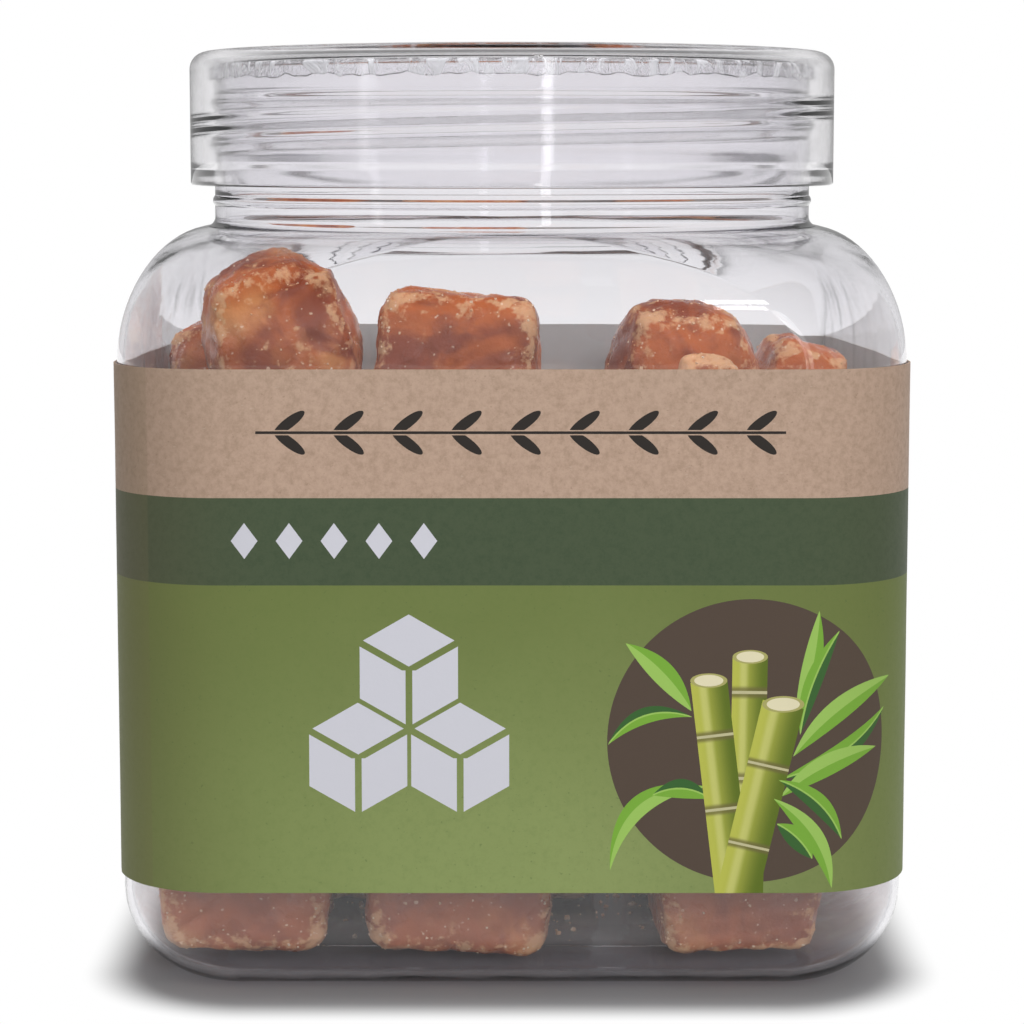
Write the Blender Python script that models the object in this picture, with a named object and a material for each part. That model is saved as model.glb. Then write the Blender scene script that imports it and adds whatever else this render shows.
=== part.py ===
# A clear square jar with a screw lid, a wrap label and a filling of jaggery cubes.
# Metres, +Z up. The origin is the middle of the base, and the label's front faces -Y.
import math
import random

import bmesh
import bpy
from mathutils import Euler, Vector, noise

# Jar body: a rounded square that turns into a round neck
BODY_HALF = 0.0472
CORNER_RADIUS = 0.013
BASE_ROUND = 0.012
SHOULDER_START = 0.0755
SHOULDER_HEIGHT = 0.0153
NECK_RADIUS = 0.0387
NECK_FLARE = 0.0009
RIM_HEIGHT = 0.1109
BODY_WALL = 0.0008
NECK_WALL = 0.0013
FLOOR_THICKNESS = 0.0010
FLOOR_PUSH_UP = 0.0010
STANDING_RING = 0.0055
STANDING_RING_CORNER = 0.005
PANEL_STEP = 0.0015
PANEL_CORNER = 0.004
CORNER_SHRINK = 0.8
RIM_CHAMFER = 0.0004
RIM_INNER_CHAMFER = 0.0003
INNER_NECK_START = 0.0012
RING_POINTS_PER_QUARTER = 8
BASE_STEPS = 4
SHOULDER_STEPS = 6

# Beads round the neck: one below the lid, two that the lid screws over
BEAD_HEIGHTS = (0.0941, 0.0995, 0.1050)
BEAD_PROUD = 0.0011
BEAD_HALF_WIDTH = 0.0008

# Lid and the film that seals the rim
LID_RADIUS = 0.0418
LID_WALL = 0.0015
LID_TOP = 0.1131
LID_BOTTOM = 0.0961
LID_TOP_THICKNESS = 0.0012
LID_EDGE_ROUND = 0.0022
LID_EDGE_STEPS = 4
LID_LIP_CHAMFER = 0.0003
LID_CEILING_CHAMFER = 0.0008
LID_SIDES = 48
MERGE_DISTANCE = 0.00001
SEAL_RADIUS = 0.0384
SEAL_THICKNESS = 0.00035

# Label: a paper sleeve round the straight part of the body
GAP = 0.0003
LABEL_BOTTOM = 0.0139
LABEL_TOP = 0.0755
LABEL_THICKNESS = 0.0002
LABEL_GAP = 0.00025

# Full layers of jaggery cubes, cast in tapered moulds
CUBE_WIDTH = 0.0240
CUBE_HEIGHT = 0.0205
CUBE_PITCH = 0.0292
LAYER_PITCH = 0.0210
FULL_LAYERS = 3
FILL_SEED = 7
PILE_FLOOR = FLOOR_PUSH_UP + FLOOR_THICKNESS + GAP
PLACE_SLACK = 0.0006
TURN_SLACK = math.radians(5)
UPSIDE_DOWN_SHARE = 0.4

# The bottom layer is drawn in a little, away from the rounded edge of the floor
BOTTOM_PITCH = 0.0276
BOTTOM_WIDTH = 0.0246
BOTTOM_TAPER = 0.90
# Its front row: place along X, width, taper towards the floor, lean in degrees
BOTTOM_FRONT_ROW = (
    (-0.0325, 0.0260, 0.80, 0),
    (-0.0063, 0.0258, 0.90, 3),
    (0.0277, 0.0240, 0.82, 0),
)

# The loose cubes on top: place, turn in degrees, size, boxiness, taper
TOP_CUBES = (
    ((-0.0281, -0.0288, 0.0770), (4, -12, 8), (0.0208, 0.0222, 0.0247), 2.4, 0.96),
    ((-0.0064, -0.0330, 0.0744), (0, 4, -4), (0.0230, 0.0205, 0.0192), 9.0, 0.77),
    ((0.0205, -0.0272, 0.0741), (4, 2, 10), (0.0236, 0.0210, 0.0184), 2.4, 0.72),
    ((0.0368, -0.0130, 0.0715), (0, 12, 4), (0.0150, 0.0200, 0.0122), 2.8, 0.85),
    ((0.0226, -0.0411, 0.0716), (0, 5, 6), (0.0100, 0.0062, 0.0120), 2.6, 0.85),
    ((-0.0354, -0.0086, 0.0737), (4, -15, -6), (0.0212, 0.0200, 0.0164), 2.8, 0.85),
    ((-0.0070, -0.0090, 0.0724), (180, 0, 4), (0.0175, 0.0215, 0.0140), 8.0, 0.88),
    ((0.0212, 0.0020, 0.0704), (0, 0, -5), (0.0140, 0.0205, 0.0100), 7.0, 0.86),
    ((-0.0315, 0.0250, 0.0735), (0, 3, 7), (0.0200, 0.0230, 0.0160), 6.0, 0.86),
    ((-0.0070, 0.0260, 0.0721), (180, 0, -8), (0.0180, 0.0225, 0.0132), 7.5, 0.90),
    ((0.0225, 0.0300, 0.0702), (180, 0, 6), (0.0140, 0.0200, 0.0096), 6.5, 0.88),
)
TOP_LUMPS = 0.0008
LAYER_LUMPS = 0.0006
LUMP_SCALE = 110
LUMP_LEVEL = 0.35
SEED_STEP = Vector((3.7, 1.9, 5.3))

# Edges sharper than these are drawn sharp
PLASTIC_EDGE = math.radians(35)
CUBE_EDGE = math.radians(50)


def clear_scene():
    for obj in list(bpy.data.objects):
        bpy.data.objects.remove(obj, do_unlink=True)


def finish_material(name, color, roughness, alpha=1.0):
    material = bpy.data.materials.new(name)
    material.use_nodes = True
    shader = material.node_tree.nodes["Principled BSDF"]
    shader.inputs["Base Color"].default_value = (*color, 1.0)
    shader.inputs["Roughness"].default_value = roughness
    shader.inputs["Metallic"].default_value = 0.0
    shader.inputs["Alpha"].default_value = alpha
    return material


def add_object(name, bm, material, smooth_angle=None):
    bmesh.ops.recalc_face_normals(bm, faces=bm.faces[:])
    mesh = bpy.data.meshes.new(name)
    bm.to_mesh(mesh)
    bm.free()
    mesh.materials.append(material)
    if smooth_angle is not None:
        mesh.shade_smooth()
        mesh.set_sharp_from_angle(angle=smooth_angle)
    obj = bpy.data.objects.new(name, mesh)
    bpy.context.scene.collection.objects.link(obj)
    return obj


def section(half, corner, height):
    """The points of a rounded square. It is a circle where the corner radius equals the half width."""
    points = []
    count = RING_POINTS_PER_QUARTER
    for quarter in range(4):
        middle = math.radians(90 * quarter + 45)
        centre = Vector((math.cos(middle), math.sin(middle))) * (half - corner) * math.sqrt(2)
        for step in range(count):
            angle = math.radians(90) * (quarter + (step + 0.5) / count)
            points.append(
                Vector((centre.x + corner * math.cos(angle), centre.y + corner * math.sin(angle), height))
            )
    return points


def loft(sections, closed=False):
    """A surface through the sections. Its ends are capped, or joined to each other if it is closed."""
    bm = bmesh.new()
    first = [bm.verts.new(point) for point in sections[0]]
    count = len(first)
    edges = [bm.edges.new((first[i], first[(i + 1) % count])) for i in range(count)]
    start, last = edges, first
    for points in sections[1:]:
        grown = bmesh.ops.extrude_edge_only(bm, edges=edges)["geom"]
        edges = [item for item in grown if isinstance(item, bmesh.types.BMEdge)]
        ring = {vert.co.copy().freeze(): vert for vert in grown if isinstance(vert, bmesh.types.BMVert)}
        last = [ring[vert.co.copy().freeze()] for vert in last]
        for vert, point in zip(last, points):
            vert.co = point
        edges = [edge for edge in edges if all(vert in last for vert in edge.verts)]
    if closed:
        bmesh.ops.bridge_loops(bm, edges=start + edges)
    else:
        bmesh.ops.contextual_create(bm, geom=start)
        bmesh.ops.contextual_create(bm, geom=edges)
    return bm


def base_sections(inset):
    """From the raised panel under the jar, over the standing ring, and round the base's edge."""
    flat_half = BODY_HALF - BASE_ROUND
    panel = FLOOR_PUSH_UP + inset * FLOOR_THICKNESS / BODY_WALL
    ring = inset * FLOOR_THICKNESS / BODY_WALL
    rings = [
        section(flat_half - STANDING_RING - PANEL_STEP, PANEL_CORNER, panel),
        section(flat_half - STANDING_RING, STANDING_RING_CORNER, ring),
    ]
    for step in range(BASE_STEPS + 1):
        angle = math.radians(90) * step / BASE_STEPS
        half = flat_half + (BASE_ROUND - inset) * math.sin(angle)
        corner = CORNER_RADIUS - inset - CORNER_SHRINK * (BODY_HALF - inset - half)
        rings.append(section(half, corner, BASE_ROUND - (BASE_ROUND - ring) * math.cos(angle)))
    return rings


def shoulder_sections(inset):
    """A dome that eases the square into the neck's circle."""
    rings = []
    neck = NECK_RADIUS + NECK_FLARE
    for step in range(SHOULDER_STEPS + 1):
        angle = math.radians(90) * step / SHOULDER_STEPS
        half = neck + (BODY_HALF - neck) * math.cos(angle)
        square = CORNER_RADIUS / BODY_HALF
        roundness = square + (1 - square) * (1 - math.cos(angle))
        height = SHOULDER_START + SHOULDER_HEIGHT * math.sin(angle)
        rings.append(section(half - inset, roundness * (half - inset), height - inset * math.sin(angle)))
    return rings


def neck_outside():
    rings = []
    for height in BEAD_HEIGHTS:
        for offset, proud in ((-1, 0), (-0.5, 1), (0.5, 1), (1, 0)):
            radius = NECK_RADIUS + BEAD_PROUD * proud
            rings.append(section(radius, radius, height + BEAD_HALF_WIDTH * offset))
    return rings


def neck_mouth():
    rings = []
    inside = NECK_RADIUS - NECK_WALL
    for radius, height in (
        (NECK_RADIUS, RIM_HEIGHT - RIM_CHAMFER),
        (NECK_RADIUS - RIM_CHAMFER, RIM_HEIGHT),
        (inside + RIM_INNER_CHAMFER, RIM_HEIGHT),
        (inside, RIM_HEIGHT - RIM_CHAMFER),
        (inside, SHOULDER_START + SHOULDER_HEIGHT + INNER_NECK_START),
    ):
        rings.append(section(radius, radius, height))
    return rings


def make_jar(material):
    outside = base_sections(0) + shoulder_sections(0) + neck_outside() + neck_mouth()
    inside = base_sections(BODY_WALL) + shoulder_sections(BODY_WALL)
    bm = loft(outside + inside[::-1])
    return add_object("jar_body", bm, material, PLASTIC_EDGE)


def turned(profile, steps):
    """A solid turned about Z from (radius, height) points that start and end on the axis."""
    bm = bmesh.new()
    verts = [bm.verts.new((radius, 0, height)) for radius, height in profile]
    edges = [bm.edges.new(pair) for pair in zip(verts, verts[1:])]
    bmesh.ops.spin(
        bm, geom=verts + edges, axis=(0, 0, 1), cent=(0, 0, 0), angle=math.tau, steps=steps, use_merge=True
    )
    bmesh.ops.remove_doubles(bm, verts=bm.verts[:], dist=MERGE_DISTANCE)
    return bm


def make_lid(material):
    rounding = []
    for step in range(LID_EDGE_STEPS + 1):
        angle = math.radians(90) * step / LID_EDGE_STEPS
        radius = LID_RADIUS - LID_EDGE_ROUND * (1 - math.sin(angle))
        rounding.append((radius, LID_TOP - LID_EDGE_ROUND * (1 - math.cos(angle))))
    inner = LID_RADIUS - LID_WALL
    ceiling = LID_TOP - LID_TOP_THICKNESS
    profile = [
        (0, LID_TOP),
        *rounding,
        (LID_RADIUS, LID_BOTTOM + LID_LIP_CHAMFER),
        (LID_RADIUS - LID_LIP_CHAMFER, LID_BOTTOM),
        (inner + LID_LIP_CHAMFER, LID_BOTTOM),
        (inner, LID_BOTTOM + LID_LIP_CHAMFER),
        (inner, ceiling - LID_CEILING_CHAMFER),
        (inner - LID_CEILING_CHAMFER, ceiling),
        (0, ceiling),
    ]
    return add_object("lid", turned(profile, LID_SIDES), material, PLASTIC_EDGE)


def make_seal(material):
    bottom = RIM_HEIGHT + GAP
    top = bottom + SEAL_THICKNESS
    profile = [(0, top), (SEAL_RADIUS, top), (SEAL_RADIUS, bottom), (0, bottom)]
    return add_object("rim_seal", turned(profile, LID_SIDES), material)


def make_label(material):
    inner = BODY_HALF + LABEL_GAP
    outer = inner + LABEL_THICKNESS
    corner = CORNER_RADIUS + LABEL_GAP
    sections = [
        section(outer, corner + LABEL_THICKNESS, LABEL_BOTTOM),
        section(outer, corner + LABEL_THICKNESS, LABEL_TOP),
        section(inner, corner, LABEL_TOP),
        section(inner, corner, LABEL_BOTTOM),
    ]
    return add_object("label", loft(sections, closed=True), material, PLASTIC_EDGE)


def place_cube(name, material, centre, turn, size, boxiness, taper, lumps, cuts, seed):
    """A cast sugar block: rounded edges, a narrower top, and an uneven surface."""
    bm = bmesh.new()
    bmesh.ops.create_cube(bm, size=2)
    bmesh.ops.subdivide_edges(bm, edges=bm.edges[:], cuts=cuts, use_grid_fill=True)
    towards_edge = 0.2 if cuts == 2 else 0.35
    for vert in bm.verts:
        spread = Vector([math.copysign(abs(value) ** towards_edge, value) for value in vert.co])
        span = sum(abs(value) ** boxiness for value in spread) ** (1 / boxiness)
        point = spread / span
        narrow = 1 - (1 - taper) * (point.z + 1) / 2
        shaped = Vector(
            (point.x * narrow * size[0] / 2, point.y * narrow * size[1] / 2, point.z * size[2] / 2)
        )
        lump = noise.noise(shaped * LUMP_SCALE + SEED_STEP * seed)
        vert.co = shaped + point.normalized() * lumps * (lump - LUMP_LEVEL)
    cube = add_object(name, bm, material, CUBE_EDGE)
    cube.location = centre
    cube.rotation_euler = Euler(turn)


def make_full_layers(material):
    """Layers of three by three, stacked up to the label's upper part. Each cube sits a little askew."""
    rng = random.Random(FILL_SEED)
    for layer in range(FULL_LAYERS):
        pitch = CUBE_PITCH if layer else BOTTOM_PITCH
        wide = CUBE_WIDTH if layer else BOTTOM_WIDTH
        for place in range(9):
            column, row = place % 3 - 1, place // 3 - 1
            x = column * pitch + rng.uniform(-PLACE_SLACK, PLACE_SLACK)
            y = row * pitch + rng.uniform(-PLACE_SLACK, PLACE_SLACK)
            width = wide * rng.uniform(0.96, 1.06)
            depth = wide * rng.uniform(0.96, 1.06)
            turn = rng.uniform(-TURN_SLACK, TURN_SLACK)
            flip = math.pi if rng.random() < UPSIDE_DOWN_SHARE else 0.0
            boxiness = rng.uniform(6, 9)
            taper = rng.uniform(0.84, 0.93)
            lean = 0.0
            if layer == 0:
                flip, taper, turn = 0.0, BOTTOM_TAPER, turn / 3
            if layer == 0 and row == -1:
                x, width, taper, lean = BOTTOM_FRONT_ROW[column + 1]
                flip, depth = math.pi, CUBE_WIDTH
            place_cube(
                f"jaggery_cube_{layer * 9 + place + 1:02d}",
                material,
                centre=(x, y, PILE_FLOOR + CUBE_HEIGHT / 2 + layer * LAYER_PITCH),
                turn=(flip, math.radians(lean), turn),
                size=(width, depth, CUBE_HEIGHT),
                boxiness=boxiness,
                taper=taper,
                lumps=LAYER_LUMPS,
                cuts=2,
                seed=layer * 9 + place,
            )


def make_top_cubes(material):
    first = FULL_LAYERS * 9 + 1
    for index, (centre, degrees, size, boxiness, taper) in enumerate(TOP_CUBES):
        place_cube(
            f"jaggery_cube_{first + index:02d}",
            material,
            centre=centre,
            turn=[math.radians(value) for value in degrees],
            size=size,
            boxiness=boxiness,
            taper=taper,
            lumps=TOP_LUMPS,
            cuts=3,
            seed=first + index,
        )


def main():
    clear_scene()
    clear_plastic = finish_material("clear_plastic", (0.86, 0.86, 0.90), 0.08, 0.3)
    film = finish_material("seal_film", (0.90, 0.90, 0.94), 0.15, 0.4)
    paper = finish_material("label_paper", (0.30, 0.38, 0.14), 0.6)
    jaggery = finish_material("jaggery", (0.46, 0.15, 0.045), 0.5)
    make_jar(clear_plastic)
    make_lid(clear_plastic)
    make_seal(film)
    make_label(paper)
    make_full_layers(jaggery)
    make_top_cubes(jaggery)


main()
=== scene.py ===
import math
import random

import bmesh
import bpy
from mathutils import Matrix, Vector, noise


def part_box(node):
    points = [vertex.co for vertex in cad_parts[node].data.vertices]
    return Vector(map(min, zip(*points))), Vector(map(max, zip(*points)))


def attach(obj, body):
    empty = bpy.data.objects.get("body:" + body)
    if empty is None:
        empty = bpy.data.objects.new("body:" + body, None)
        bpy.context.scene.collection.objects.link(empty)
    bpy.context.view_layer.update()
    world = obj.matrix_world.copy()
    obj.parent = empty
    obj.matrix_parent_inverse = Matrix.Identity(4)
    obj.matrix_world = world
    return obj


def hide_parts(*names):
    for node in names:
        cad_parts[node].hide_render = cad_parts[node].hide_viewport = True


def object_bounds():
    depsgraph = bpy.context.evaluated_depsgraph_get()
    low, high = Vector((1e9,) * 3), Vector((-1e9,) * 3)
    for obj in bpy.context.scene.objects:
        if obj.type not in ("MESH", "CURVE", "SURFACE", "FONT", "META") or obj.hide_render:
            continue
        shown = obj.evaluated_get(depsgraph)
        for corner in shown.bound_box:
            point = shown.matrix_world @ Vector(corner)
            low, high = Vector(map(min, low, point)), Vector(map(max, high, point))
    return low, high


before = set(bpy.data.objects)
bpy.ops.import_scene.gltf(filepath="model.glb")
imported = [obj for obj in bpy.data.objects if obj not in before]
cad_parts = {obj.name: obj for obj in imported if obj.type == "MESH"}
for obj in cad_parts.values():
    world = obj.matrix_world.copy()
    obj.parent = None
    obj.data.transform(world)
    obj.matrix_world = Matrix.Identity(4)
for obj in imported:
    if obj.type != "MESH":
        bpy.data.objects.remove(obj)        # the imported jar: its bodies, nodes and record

mm = 0.001
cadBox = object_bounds()
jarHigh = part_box("jar_body")[1]
lidLow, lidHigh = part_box("lid")
labelLow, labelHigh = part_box("label")
sealLow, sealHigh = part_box("rim_seal")
bodyHalf = labelHigh.x - 0.4 * mm        # the body's true half width, which the frame's flat sides cut short
sharpEdge = 40        # degrees: a fold past this shows as a crease
cubeNames = sorted(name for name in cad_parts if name.startswith("jaggery_cube"))


# shader helpers: a socket that can be added and multiplied like a number
class Wire:
    def __init__(self, finish, socket):
        self.finish = finish
        self.socket = socket

    def reckon(self, operation, first, second):
        return self.finish.node("ShaderNodeMath", {"operation": operation}, {0: first, 1: second})

    def __add__(self, other):
        return self.reckon("ADD", self, other)

    def __radd__(self, other):
        return self.reckon("ADD", other, self)

    def __sub__(self, other):
        return self.reckon("SUBTRACT", self, other)

    def __rsub__(self, other):
        return self.reckon("SUBTRACT", other, self)

    def __mul__(self, other):
        return self.reckon("MULTIPLY", self, other)

    def __rmul__(self, other):
        return self.reckon("MULTIPLY", other, self)

    def __truediv__(self, other):
        return self.reckon("DIVIDE", self, other)

    def __pow__(self, other):
        return self.reckon("POWER", self, other)

    def __gt__(self, other):
        return self.reckon("GREATER_THAN", self, other)

    def __lt__(self, other):
        return self.reckon("LESS_THAN", self, other)

    def __abs__(self):
        return self.reckon("ABSOLUTE", self, 0.0)

    def atMost(self, other):
        return self.reckon("MINIMUM", self, other)

    def atLeast(self, other):
        return self.reckon("MAXIMUM", self, other)


class Finish:
    def __init__(self, name, owner=None):
        self.owner = owner or bpy.data.materials.new(name)
        self.owner.use_nodes = True
        self.tree = self.owner.node_tree
        self.tree.nodes.clear()

    def node(self, kind, settings=None, inputs=None, output=0):
        made = self.tree.nodes.new(kind)
        for key, value in (settings or {}).items():
            setattr(made, key, value)
        for key, value in (inputs or {}).items():
            socket = made.inputs[key]
            if isinstance(value, Wire):
                self.tree.links.new(value.socket, socket)
            elif socket.type == "RGBA":
                socket.default_value = (*value, 1.0)
            else:
                socket.default_value = value
        return Wire(self, made.outputs[output]) if made.outputs else None

    def place(self):
        return self.node("ShaderNodeTexCoord", output=3)

    def axes(self, vector):
        return [self.node("ShaderNodeSeparateXYZ", None, {0: vector}, axis) for axis in range(3)]

    def blotches(self, place, size, detail=2.0, rough=0.5, bend=0.0):
        # size is the width of a blotch in metres
        values = {
            "Vector": place, "Scale": 1 / size, "Detail": detail, "Roughness": rough, "Distortion": bend,
        }
        return self.node("ShaderNodeTexNoise", None, values)

    def between(self, value, low, high, start=0.0, end=1.0):
        values = {0: value, 1: low, 2: high, 3: start, 4: end}
        return self.node("ShaderNodeMapRange", {"interpolation_type": "SMOOTHSTEP"}, values)

    def tint(self, factor, first, second, blend="MIX"):
        settings = {"data_type": "RGBA", "blend_type": blend, "clamp_factor": True}
        return self.node("ShaderNodeMix", settings, {0: factor, 6: first, 7: second}, 2)

    def stretch(self, place, amounts):
        return self.node("ShaderNodeVectorMath", {"operation": "MULTIPLY"}, {0: place, 1: amounts})

    def relief(self, height, depth, strength=1.0, under=None):
        values = {"Height": height, "Distance": depth, "Strength": strength}
        if under is not None:
            values["Normal"] = under
        return self.node("ShaderNodeBump", None, values)

    def lightPath(self, *names):
        total = None
        for name in names:
            here = self.node("ShaderNodeLightPath", None, None, name)
            total = here if total is None else total.atLeast(here)
        return total

    def show(self, shader, volume=None):
        ends = {"Surface": shader}
        if volume is not None:
            ends["Volume"] = volume
        self.node("ShaderNodeOutputMaterial", None, ends)
        return self.owner


# mesh helpers
def finishPiece(name, bm, material, sharpAngle=None):
    mesh = bpy.data.meshes.new(name)
    bm.to_mesh(mesh)
    bm.free()
    mesh.materials.append(material)
    mesh.shade_smooth()
    if sharpAngle is not None:
        mesh.set_sharp_from_angle(angle=math.radians(sharpAngle))
    piece = bpy.data.objects.new(name, mesh)
    bpy.context.scene.collection.objects.link(piece)
    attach(piece, "root")
    return piece


def arcPoints(centre, radius, startAngle, endAngle, steps):
    # points on an arc in the profile's plane, angles in degrees from straight out
    points = []
    for step in range(steps + 1):
        angle = math.radians(startAngle + (endAngle - startAngle) * step / steps)
        points.append((centre[0] + radius * math.cos(angle), centre[1] + radius * math.sin(angle)))
    return points


def spinProfile(profile, steps, corners=None):
    # turns a profile that starts and ends on the axis into a closed shell
    bm = bmesh.new()
    cornerLayer = bm.verts.layers.float.new("corner")
    halfStep = math.pi / steps
    verts = []
    for index, (radius, height) in enumerate(profile):
        vert = bm.verts.new((radius * math.cos(halfStep), radius * math.sin(halfStep), height))
        vert[cornerLayer] = corners[index] if corners else radius
        verts.append(vert)
    edges = [bm.edges.new(pair) for pair in zip(verts, verts[1:])]
    bmesh.ops.spin(
        bm, geom=verts + edges, axis=(0, 0, 1), cent=(0, 0, 0), angle=math.tau, steps=steps, use_merge=True
    )
    bmesh.ops.remove_doubles(bm, verts=bm.verts[:], dist=0.004 * mm)
    return bm


def squareUp(bm):
    # pushes every ring out from a circle to a rounded square with the corner radius it carries
    cornerLayer = bm.verts.layers.float["corner"]
    for vert in bm.verts:
        half = math.hypot(vert.co.x, vert.co.y)
        if half < 0.1 * mm:
            continue
        corner = min(vert[cornerLayer], half)
        side = Vector((math.copysign(1, vert.co.x), math.copysign(1, vert.co.y))) * (half - corner)
        vert.co.x = side.x + corner * vert.co.x / half
        vert.co.y = side.y + corner * vert.co.y / half


# clear plastic, which darkens along its edges as light runs further inside it
def clearPlastic(name, look):
    finish = Finish(name)
    swell = finish.blotches(finish.place(), look["waveSize"], 1.0)
    plastic = finish.node("ShaderNodeBsdfPrincipled", None, {
        "Base Color": look["color"],
        "Roughness": look["gloss"],
        "IOR": look["ior"],
        "Transmission Weight": 1.0,
        "Normal": finish.relief(swell, look["waveDepth"]),
    })
    through = finish.node("ShaderNodeBsdfTransparent", None, {"Color": look["shadowColor"]})
    lampRays = finish.lightPath("Is Shadow Ray", "Is Diffuse Ray")
    shader = finish.node("ShaderNodeMixShader", None, {0: lampRays, 1: plastic, 2: through})
    values = {"Color": look["tint"], "Density": look["depth"]}
    tint = finish.node("ShaderNodeVolumeAbsorption", None, values)
    return finish.show(shader, tint)


jarLook = {
    "color": (0.99, 0.985, 0.995),
    "tint": (0.42, 0.40, 0.50),
    "depth": 95.0,
    "shadowColor": (0.95, 0.95, 0.96),
    "gloss": 0.02,
    "ior": 1.5,
    "waveSize": 9 * mm,
    "waveDepth": 0.05 * mm,
}
lidLook = dict(jarLook, tint=(0.40, 0.38, 0.43), depth=35.0, gloss=0.06, waveSize=14 * mm)
jarPlastic = clearPlastic("jarPlastic", jarLook)
lidPlastic = clearPlastic("lidPlastic", lidLook)
print("clear plastics made")

# jar body: a turned shell pushed out to a rounded square, with its screw thread
jarShape = {
    "corner": 13 * mm,
    "baseRound": 12 * mm,
    "shoulderRise": 15.3 * mm,
    "neck": 38.7 * mm,
    "neckFlare": 0.9 * mm,
    "wall": 0.8 * mm,
    "neckWall": 1.3 * mm,
    "floor": 1.0 * mm,
    "pushUp": 1.0 * mm,
    "standingRing": 5.5 * mm,
    "steps": 176,
    "beadHeight": 94.1 * mm,
    "beadRound": 0.90 * mm,
    "beadSunk": 0.62 * mm,
    "threadStart": 98.6 * mm,
    "threadPitch": 5.2 * mm,
    "threadTurns": 1.35,
    "threadProud": 0.7 * mm,
    "threadHalf": 1.6 * mm,
    "ringHeight": 106.6 * mm,
    "ringProud": 0.5 * mm,
    "ringHalf": 1.2 * mm,
    "wobble": 0.05 * mm,
    "wobbleSize": 16 * mm,
}


def jarRings(shape, inset):
    # (radius, height, corner radius) from the floor's middle out, up the wall and over the shoulder
    floorTop = shape["floor"] if inset else 0.0
    flat = bodyHalf - shape["baseRound"]
    rings = [(0.0, shape["pushUp"] + floorTop, 0.0)]
    for share in (0.35, 0.7, 1.0):
        half = (flat - shape["standingRing"] - 1.8 * mm) * share
        rings.append((half, shape["pushUp"] + floorTop, 5 * mm * share))
    rings.append((flat - shape["standingRing"] - 0.9 * mm, shape["pushUp"] * 0.5 + floorTop, 5 * mm))
    rings.append((flat - shape["standingRing"], floorTop, 5 * mm))
    for step in range(13):
        angle = math.radians(90) * step / 12
        half = flat + (shape["baseRound"] - inset) * math.sin(angle)
        corner = shape["corner"] - inset - 0.8 * (bodyHalf - inset - half)
        rings.append((half, shape["baseRound"] - (shape["baseRound"] - floorTop) * math.cos(angle), corner))
    straight = labelHigh.z - shape["baseRound"]
    for step in range(1, 12):
        rings.append((bodyHalf - inset, shape["baseRound"] + straight * step / 12, shape["corner"] - inset))
    neck = shape["neck"] + shape["neckFlare"]
    square = shape["corner"] / bodyHalf
    for step in range(19):
        angle = math.radians(90) * step / 18
        half = neck + (bodyHalf - neck) * math.cos(angle) - inset
        roundness = square + (1 - square) * (1 - math.cos(angle))
        height = labelHigh.z + (shape["shoulderRise"] - inset) * math.sin(angle)
        rings.append((half, height, roundness * half))
    return rings


def neckRings(shape):
    neck = shape["neck"]
    top = labelHigh.z + shape["shoulderRise"]
    flare = arcPoints((neck + 1.2 * mm, top + 1.2 * mm), 1.2 * mm, 255, 180, 5)
    bead = arcPoints((neck - shape["beadSunk"], shape["beadHeight"]), shape["beadRound"], -46, 46, 8)
    points = [point for point in flare if point[1] < shape["beadHeight"] - 0.9 * mm] + bead
    plainRings = 64
    start, end = shape["beadHeight"] + 1.4 * mm, jarHigh.z - 0.7 * mm
    points += [(neck, start + (end - start) * step / plainRings) for step in range(plainRings + 1)]
    inside = neck - shape["neckWall"]
    points += arcPoints((neck - 0.5 * mm, jarHigh.z - 0.5 * mm), 0.5 * mm, 0, 90, 4)
    points += arcPoints((inside + 0.5 * mm, jarHigh.z - 0.5 * mm), 0.5 * mm, 90, 180, 4)
    points += [(inside, jarHigh.z - drop * mm) for drop in (4, 8, 12, 16)]
    turn = neck + shape["neckFlare"] - shape["wall"] - inside        # runs into the shoulder without a kink
    points += arcPoints((inside + turn, top - shape["wall"] + turn), turn, 180, 270, 8)
    return [(radius, height, radius) for radius, height in points]


def threadPush(shape, point):
    # how far the screw thread stands out of the neck here, fading in and out at its ends
    turn = (math.atan2(point.y, point.x) / math.tau) % 1.0
    best = 0.0
    for lap in range(3):
        along = turn + lap
        if along > shape["threadTurns"]:
            break
        middle = shape["threadStart"] + along * shape["threadPitch"]
        away = abs(point.z - middle) / shape["threadHalf"]
        if away < 1:
            ends = min(1.0, along / 0.06, (shape["threadTurns"] - along) / 0.06)
            best = max(best, ends * (0.5 + 0.5 * math.cos(math.pi * away)))
    return best


def makeJar():
    shape = jarShape
    outside = jarRings(shape, 0.0)
    inside = jarRings(shape, shape["wall"])
    rings = outside + neckRings(shape) + inside[::-1]
    bm = spinProfile([ring[:2] for ring in rings], shape["steps"], [ring[2] for ring in rings])
    squareUp(bm)
    for vert in bm.verts:
        reach = math.hypot(vert.co.x, vert.co.y)
        onNeck = abs(reach - shape["neck"]) < 0.02 * mm
        if onNeck and vert.co.z > shape["beadHeight"] + 1.2 * mm:
            push = shape["threadProud"] * threadPush(shape, vert.co)
            away = min(1.0, abs(vert.co.z - shape["ringHeight"]) / shape["ringHalf"])
            push = max(push, shape["ringProud"] * (0.5 + 0.5 * math.cos(math.pi * away)))
            vert.co.x *= 1 + push / reach
            vert.co.y *= 1 + push / reach
    bmesh.ops.recalc_face_normals(bm, faces=bm.faces[:])
    bm.normal_update()
    for vert in bm.verts:        # the moulded wall is never quite even
        if vert.co.z < shape["baseRound"] * 0.2 or vert.co.z > labelHigh.z + shape["shoulderRise"]:
            continue
        swell = noise.noise(vert.co / shape["wobbleSize"]) - 0.6
        vert.co += vert.normal * swell * shape["wobble"]
    jar = finishPiece("jar", bm, jarPlastic, sharpEdge)
    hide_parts("jar_body")


makeJar()
print("jar made")

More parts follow.
